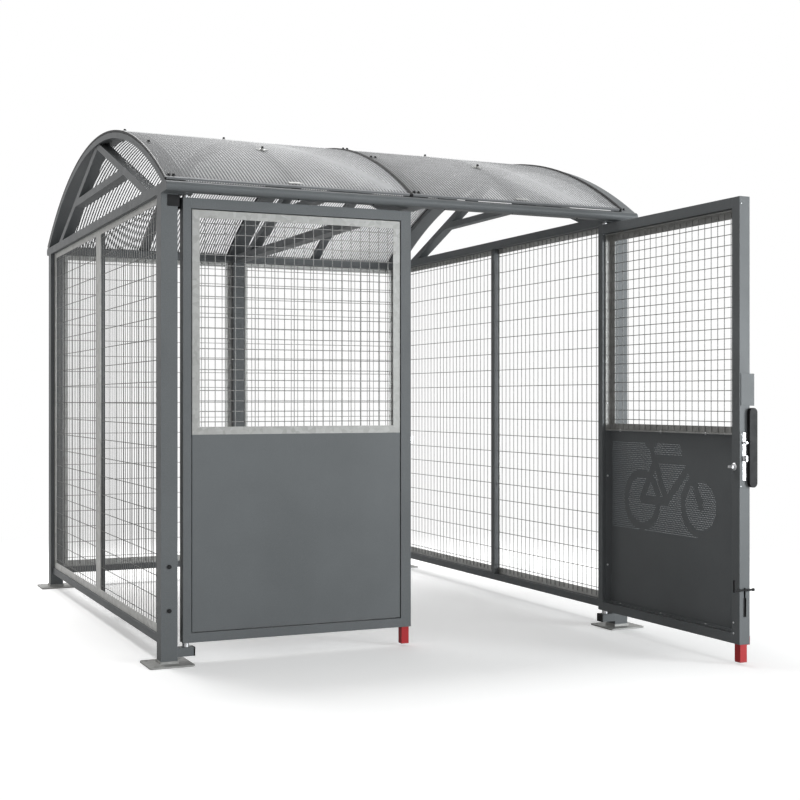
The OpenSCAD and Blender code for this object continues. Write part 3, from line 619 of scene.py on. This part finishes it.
def perforated_tray():
    """Face plate pierced by round holes in rows offset by half a pitch, with folded edges.

    Each cell of the lattice is a brick of pitch by 0.866 pitch. An open cell is a ring
    between its six outline points and a circle of twelve points, drawn on both faces and
    joined by the wall of the hole. A closed cell is one hexagon with the same outline.
    """
    pitch, rise = HOLE_PITCH, HOLE_PITCH * math.sqrt(3) / 2
    cols = int((SIGN_RIGHT - SIGN_LEFT) / pitch)
    rows = int((SIGN_HIGH - SIGN_LOW) / rise)
    i, j = [a.ravel() for a in np.meshgrid(np.arange(cols), np.arange(rows))]
    centre = np.column_stack([SIGN_LEFT + (i + 0.5 + 0.5 * (j % 2)) * pitch,
                              SIGN_LOW + (j + 0.5) * rise])
    h, v = pitch / 2, rise / 2
    outline = np.array([(-h, -v), (0, -v), (h, -v), (h, v), (0, v), (-h, v)])
    turn = np.radians(-150 + 30 * np.arange(12))
    circle = HOLE_RADIUS * np.column_stack([np.cos(turn), np.sin(turn)])
    is_open = ~bicycle_is_solid(centre)
    n, m = len(centre), int(is_open.sum())

    # Stepped border of the lattice: bottom, right side, top, left side
    left = np.array([(SIGN_LEFT + h * (q % 2), SIGN_LOW + z * rise)
                     for q in range(rows) for z in (q, q + 1)])
    right = left + (cols * pitch, 0)
    along = np.arange(2 * cols + 1)[:, None] * (h, 0)
    low = left[0] + along
    high = left[-1] + along
    borders = [low, right, high[::-1], left[::-1]]
    flat = np.vstack([(centre[:, None] + outline).reshape(-1, 2),
                      (centre[is_open][:, None] + circle).reshape(-1, 2)] + borders)
    flat, place = np.unique(np.round(flat, 7), axis=0, return_inverse=True)
    place = place.ravel()
    hexagon = place[:6 * n].reshape(n, 6)
    rim = place[6 * n:6 * n + 12 * m].reshape(m, 12)
    split = 6 * n + 12 * m + np.cumsum([0] + [len(b) for b in borders])
    borders = [place[a:b].tolist() for a, b in zip(split[:-1], split[1:])]

    # Front face, counted anticlockwise from outside
    faces = hexagon[~is_open].tolist()
    edge = hexagon[is_open]
    for k in range(6):
        a, b = edge[:, k], edge[:, (k + 1) % 6]
        c0, c1, c2 = (rim[:, (2 * k + s) % 12] for s in (0, 1, 2))
        faces += np.column_stack([a, c1, c0]).tolist()
        faces += np.column_stack([a, b, c2, c1]).tolist()
    count = len(flat)
    outer = np.array([(FILL_X0, FILL_Z0), (FILL_X1, FILL_Z0), (FILL_X1, MID_Z),
                      (FILL_X0, MID_Z)])
    inner = outer + SHEET_STEEL * np.array([(1, 1), (-1, 1), (-1, -1), (1, -1)])
    y0, y1, y2 = FILL_Y, FILL_Y + SHEET_STEEL, FILL_Y + FILL_DEPTH
    vertices = np.vstack([upright(flat, y0), upright(flat, y1), upright(outer, y0),
                          upright(inner, y1), upright(outer, y2), upright(inner, y2)])
    front, back, rim_out, rim_in = (2 * count + 4 * k for k in range(4))
    result = [list(f) for f in faces] + [[i + count for i in f][::-1] for f in faces]
    for k, border in enumerate(borders):
        q = (k + 1) % 4
        path = drop_repeats(border)[::-1]
        result.append([front + k, front + q] + path)
        result.append(([back + k, back + q] + [i + count for i in path])[::-1])
        result.append([front + q, front + k, rim_out + k, rim_out + q])
        result.append([rim_out + k, rim_in + k, rim_in + q, rim_out + q])
        result.append([back + k, back + q, rim_in + q, rim_in + k])
    for k in range(12):
        a, b = rim[:, k], rim[:, (k + 1) % 12]
        result += np.column_stack([a, b, b + count, a + count]).tolist()
    return vertices, result


def on_right_door(name, points, faces, slot, **more):
    """Piece of the right door: turned to its place, its faces reversed by the mirror."""
    make_piece(name, on_right_leaf(points), [f[::-1] for f in faces], slot, "right_door", **more)


SPACER = [(0, 0.008), (0.006, 0.008)]
PANEL_BOSSES = (0.350, 0.838)
spacers = [turned(SPACER, (x, 0.0, z), (1, 0, 0), 32) for x in (0.020, 1.102)
           for z in PANEL_BOSSES]
on_right_door("right_perforated_panel", *join_parts([perforated_tray()] + spacers),
              "panel_paint", stands_for=("right_door_panel",))


# Roof screws with seal washers, standing square to the roof
def roof_screw(x, angle, lift, d=0.016):
    """Washer and domed head turned about the roof's normal at this place."""
    a = math.radians(angle)
    place = on_roof(x, angle, lift)[0]
    profile = [(0.0001, d * 0.62), (0.0016, d * 0.62), (0.0024, d * 0.48), (0.0025, d * 0.42),
               (0.0065, d * 0.40), (0.0085, d * 0.30), (0.0092, d * 0.16)]
    return turned(profile, place, (0.0, math.sin(a), math.cos(a)), 20)


# A screw on the crest is let in, so that nothing stands above the strips
CREST_SINK = 0.0064


def over_arch(places):
    """Screws at places (x, angle) through the sheets into an arch."""
    return join_parts([roof_screw(x, a, 0.0 if a else -CREST_SINK) for x, a in places])


# Places along the arches, in degrees from the crest. The right arch is bare, so its
# screws are smaller and stand as much lower as sheet and gasket are thick.
FOOT = 32.3
GABLE_ANGLES = (-FOOT, -21.6, -10.8, 0.0, 10.8, 21.6, FOOT)
MIDDLE_ANGLES = (-FOOT, -20.0, -11.6, 0.0, 11.6, 20.0, FOOT)
BARE_ARCH = -0.013
over_left = [(-1.265, a) for a in GABLE_ANGLES] + [(-1.288, a) for a in (-FOOT, FOOT)]
over_middle = [(x, a) for x in (-0.019, 0.005) for a in MIDDLE_ANGLES]
on_right = join_parts([roof_screw(1.253, a, BARE_ARCH, 0.012) for a in GABLE_ANGLES])
make_piece("left_arch_screws", *over_arch(over_left), "black_plastic", "compound", True)
make_piece("middle_arch_screws", *over_arch(over_middle), "black_plastic", "compound", True)
make_piece("right_arch_screws", *on_right, "black_plastic", "compound", True)


def roof_block(x, angle, length, width, height):
    """Small plate lying just above the roof, with chamfered upper edges."""
    a = math.radians(angle)
    out = np.array((0.0, math.sin(a), math.cos(a)))
    down = np.array((0.0, math.cos(a), -math.sin(a)))
    side = np.array((1.0, 0.0, 0.0))
    place = on_roof(x, angle, 0.0002)[0]
    c = min(height * 0.4, 0.001)
    rings = [(0.0, 0.0), (height - c, 0.0), (height, c)]
    v = [place + out * h + side * sx * (width / 2 - k) + down * sy * (length / 2 - k)
         for h, k in rings for sx, sy in ((-1, -1), (1, -1), (1, 1), (-1, 1))]
    faces = [[3, 2, 1, 0], [8, 9, 10, 11]]
    faces += [[r + k, r + (k + 1) % 4, r + 4 + (k + 1) % 4, r + 4 + k]
              for r in (0, 4) for k in range(4)]
    return np.array(v), [f[::-1] for f in faces]


# Plates at the feet of the rafters, and the bolt heads on the clamps' bosses
CLAMP_ANGLES = (-21.0, -7.0, 7.0, 21.0)
CLAMP_TOP = 0.0102


def clamp_bolt(x, angle):
    """Head of the bolt that stands on a clamp, square to the roof."""
    t = math.radians(angle)
    return pan_head(on_roof(x, angle, CLAMP_TOP)[0], (0.0, math.sin(t), math.cos(t)),
                    0.014, 0.009, 16)


foot_plates = [roof_block(x, a, 0.016, 0.070, 0.004) for x in RAFTERS for a in (-32.2, 32.2)]
make_piece("rafter_foot_plates", *join_parts(foot_plates), "galvanised", "compound")
clamp_bolts = [clamp_bolt(x, a) for x in RAFTERS for a in CLAMP_ANGLES]
make_piece("clamp_bolts", *join_parts(clamp_bolts), "black_plastic", "compound", True)


# Screws on the doors: x along the leaf, y towards the inside
def leaf_screw(place, axis, d, h=0.003):
    """Domed head on the leaf, its axis given in leaf directions."""
    return pan_head(place, axis, d, h, 14)


FLANGE_Y = FILL_Y + 0.028
FRAME_BOSSES = PANEL_BOSSES + (1.238, 2.009)
BOLT_GUIDE_X = 1.120


def leaf_fasteners():
    """Screws through the flanges of panel and window, and those of the drop bolt's guide."""
    inside = (0.0, 1.0, 0.0)
    heads = [leaf_screw((x, FLANGE_Y, z), axis, 0.011)
             for z, axis in ((MID_Z - SHEET_STEEL, (0, 0, -1)),
                             (FILL_Z0 + SHEET_STEEL, (0, 0, 1)),
                             (MID_Z + SHEET_STEEL, (0, 0, 1)))
             for x in (0.150, 0.510, 0.875)]
    heads += [leaf_screw((FILL_X0 + SHEET_STEEL, FLANGE_Y, z), (1, 0, 0), 0.011)
              for z in FRAME_BOSSES]
    heads += [leaf_screw((FILL_X1 - SHEET_STEEL, FLANGE_Y, z), (-1, 0, 0), 0.011)
              for z in FRAME_BOSSES]
    heads += [leaf_screw((BOLT_GUIDE_X, DOOR_HALF, z), inside, 0.010) for z in (0.148, 0.199)]
    return join_parts(heads)


screw_points, screw_faces = leaf_fasteners()
make_piece("left_door_screws", on_left_leaf(screw_points), screw_faces,
           "stainless", "left_door", True)
on_right_door("right_door_screws", screw_points, screw_faces, "stainless", smooth=True)


def frame_plate(x0, x1, y0, y1, z0, z1, hole):
    """Flat plate on the meeting edge with one rectangular cut-out and a fine chamfer."""
    hy0, hy1, hz0, hz1 = hole
    c = 0.0004
    loops = [[(x0, y0, z0), (x0, y1, z0), (x0, y1, z1), (x0, y0, z1)],
             [(x1 - c, y0, z0), (x1 - c, y1, z0), (x1 - c, y1, z1), (x1 - c, y0, z1)],
             [(x1, y0 + c, z0 + c), (x1, y1 - c, z0 + c), (x1, y1 - c, z1 - c),
              (x1, y0 + c, z1 - c)],
             [(x1, hy0 - c, hz0 - c), (x1, hy1 + c, hz0 - c), (x1, hy1 + c, hz1 + c),
              (x1, hy0 - c, hz1 + c)],
             [(x1 - c, hy0, hz0), (x1 - c, hy1, hz0), (x1 - c, hy1, hz1), (x1 - c, hy0, hz1)],
             [(x0, hy0, hz0), (x0, hy1, hz0), (x0, hy1, hz1), (x0, hy0, hz1)]]
    n = len(loops)
    faces = [[r * 4 + k, r * 4 + (k + 1) % 4, ((r + 1) % n) * 4 + (k + 1) % 4,
              ((r + 1) % n) * 4 + k] for r in range(n) for k in range(4)]
    return np.array(loops).reshape(-1, 3), faces


# Backing plate behind the lock's face, on the meeting edge of the right door
BACKING = 0.0012
BACKING_Y, BACKING_Z = (-0.028, 0.0298), (0.836, 1.098)
LOCK_CUT_OUT = (-0.0082, 0.0122, 0.8725, 1.0955)
backing = frame_plate(LEAF_LENGTH, LEAF_LENGTH + BACKING, *BACKING_Y, *BACKING_Z, LOCK_CUT_OUT)
on_right_door("lock_backing_plate", *backing, "stainless", material=FRAME_PAINT)

# Rose of the turn knob
KNOB_X, KNOB_Z = LEAF_LENGTH - 0.040, 0.937
ROSE_STEPS = 32


def knob_rose():
    """Cone shaped ring: its section (radius, height over the door) is turned about the knob."""
    section = [(0.0113, 0.0003), (0.0190, 0.0003), (0.0190, 0.0016), (0.0125, 0.0058),
               (0.0113, 0.0058)]
    turn = np.linspace(0.0, 2.0 * math.pi, ROSE_STEPS + 1)[:-1]
    points = np.array([[KNOB_X + a * math.cos(t), DOOR_HALF + d, KNOB_Z + a * math.sin(t)]
                       for t in turn for a, d in section])
    n = len(section)
    faces = [[i * n + k, i * n + (k + 1) % n, ((i + 1) % ROSE_STEPS) * n + (k + 1) % n,
              ((i + 1) % ROSE_STEPS) * n + k] for i in range(ROSE_STEPS) for k in range(n)]
    return points, [f[::-1] for f in faces]


on_right_door("turn_knob_rose", *knob_rose(), "stainless", smooth=True)

# Screws on the meeting edge: in the lock's face, in its backing plate and in the stile
lock_screws = [leaf_screw((LEAF_LENGTH + 0.003, 0.002, z), (1, 0, 0), 0.008, 0.0016)
               for z in (0.884, 1.088)]
lock_screws += [leaf_screw((LEAF_LENGTH + BACKING, 0.022, z), (1, 0, 0), 0.007, 0.0016)
                for z in (0.846, 1.090)]
lock_screws += [leaf_screw((LEAF_LENGTH, 0.0185, z), (1, 0, 0), 0.007, 0.0016)
                for z in (1.240, 2.180)]
on_right_door("lock_edge_screws", *join_parts(lock_screws), "stainless", smooth=True)

# Screws that hold the eave beams, one row under each beam
EAVE_PITCH = 0.397
EAVE_FIRST_X = -1.044
EAVE_LOW_Z = 2.229
eave_nubs = [pan_head((EAVE_FIRST_X + k * EAVE_PITCH, y, EAVE_LOW_Z), (0, 0, -1), 0.009, 0.004, 14)
             for k in range(6) for y in (-1.553, 1.523)]
make_piece("eave_beam_screws", *join_parts(eave_nubs), "black_plastic", "compound", True)


# Stage: the camera sees the floor as its own glow plus light on a dull surface, and
# farther out than the fade's radii as plain white
FLOOR_GLOW = 0.25
FLOOR_SHADE = 0.95
FADE_FROM, FADE_TO = 2.0, 4.8
WHITE = (1.0, 1.0, 1.0, 1.0)


def mixed(nt, factor, first, second):
    """Mix of two shaders by a factor socket."""
    blend = nt.nodes.new("ShaderNodeMixShader")
    nt.links.new(factor, blend.inputs[0])
    nt.links.new(first, blend.inputs[1])
    nt.links.new(second, blend.inputs[2])
    return blend.outputs[0]


def emission(nt, strength):
    """White emission shader."""
    glow = nt.nodes.new("ShaderNodeEmission")
    glow.inputs["Color"].default_value = WHITE
    glow.inputs["Strength"].default_value = strength
    return glow.outputs[0]


def backdrop_floor():
    """Wide pale floor: near white to the camera, with soft shadows kept in part."""
    bpy.ops.mesh.primitive_plane_add(size=120.0, location=(0.0, 0.0, -0.0005))
    floor = bpy.context.object
    floor.name = "floor"
    m, nt, s, out = new_material("floor_paper")
    s.inputs["Base Color"].default_value = (0.60, 0.60, 0.60, 1.0)
    s.inputs["Roughness"].default_value = 0.9
    s.inputs["Specular IOR Level"].default_value = 0.0
    where = nt.nodes.new("ShaderNodeTexCoord")
    far = nt.nodes.new("ShaderNodeVectorMath")
    far.operation = "LENGTH"
    nt.links.new(where.outputs["Object"], far.inputs[0])
    spread = nt.nodes.new("ShaderNodeMapRange")
    spread.interpolation_type = "SMOOTHSTEP"
    spread.inputs["From Min"].default_value = FADE_FROM
    spread.inputs["From Max"].default_value = FADE_TO
    nt.links.new(far.outputs["Value"], spread.inputs["Value"])
    dull = nt.nodes.new("ShaderNodeBsdfDiffuse")
    dull.inputs["Color"].default_value = (FLOOR_SHADE,) * 3 + (1.0,)
    add = nt.nodes.new("ShaderNodeAddShader")
    nt.links.new(emission(nt, FLOOR_GLOW), add.inputs[0])
    nt.links.new(dull.outputs[0], add.inputs[1])
    fade = mixed(nt, spread.outputs["Result"], add.outputs[0], emission(nt, 1.0))
    path = nt.nodes.new("ShaderNodeLightPath")
    pick = mixed(nt, path.outputs["Is Camera Ray"], s.outputs[0], fade)
    nt.links.new(pick, out.inputs[0])
    floor.data.materials.append(m)
    return floor


def background(nt, colour, strength):
    """Background shader of one colour."""
    shade = nt.nodes.new("ShaderNodeBackground")
    shade.inputs[0].default_value = colour
    shade.inputs[1].default_value = strength
    return shade.outputs[0]


def studio_world():
    """Soft fill light from all sides, plain white to the camera and in reflections."""
    world = bpy.data.worlds.new("studio")
    world.use_nodes = True
    nt = world.node_tree
    nt.nodes.clear()
    out = nt.nodes.new("ShaderNodeOutputWorld")
    ray = nt.nodes.new("ShaderNodeLightPath")
    seen = math_node(nt, "MAXIMUM", ray.outputs["Is Camera Ray"], ray.outputs["Is Glossy Ray"])
    soft = background(nt, (1.0, 0.985, 0.965, 1.0), 0.32)
    nt.links.new(mixed(nt, seen, soft, background(nt, WHITE, 1.0)), out.inputs[0])
    return world


def soft_panel(name, place, aim, size, power, colour=(1.0, 1.0, 1.0)):
    """Square soft light at a place, turned to a point."""
    data = bpy.data.lights.new(name, "AREA")
    data.shape = "SQUARE"
    data.size = size
    data.energy = power
    data.color = colour
    lamp = bpy.data.objects.new(name, data)
    scene.collection.objects.link(lamp)
    lamp.location = place
    lamp.rotation_euler = (Vector(aim) - Vector(place)).to_track_quat("-Z", "Y").to_euler()
    return lamp


scene.world = studio_world()
floor = backdrop_floor()
front_light = soft_panel("front_light", (3.0, -13.0, 4.0), (0.0, -1.4, 1.1), 5.0, 270.0,
                         (0.955, 0.985, 1.0))
left_light = soft_panel("left_light", (-5.0, -8.6, 1.6), (0.9, -2.0, 1.1), 3.5, 55.0)
right_light = soft_panel("right_light", (7.6, -10.6, 1.6), (1.2, -2.2, 1.2), 4.0, 1230.0,
                         (0.94, 0.98, 1.0))
top_light = soft_panel("top_light", (-0.5, 3.2, 9.0), (0.0, -0.4, 1.0), 6.0, 1100.0)

# Camera where the photograph was taken from, as the fit of its edges gives it
camera_data = bpy.data.cameras.new("camera")
camera_data.lens = 59.79
camera_data.sensor_width = 36.0
camera_data.clip_end = 200.0
camera = bpy.data.objects.new("camera", camera_data)
scene.collection.objects.link(camera)
camera.location = (-2.8993, -7.6320, 1.2531)
camera.rotation_euler = (math.radians(90.0), 0.0, -0.431)
scene.camera = camera
scene.view_settings.view_transform = "Standard"
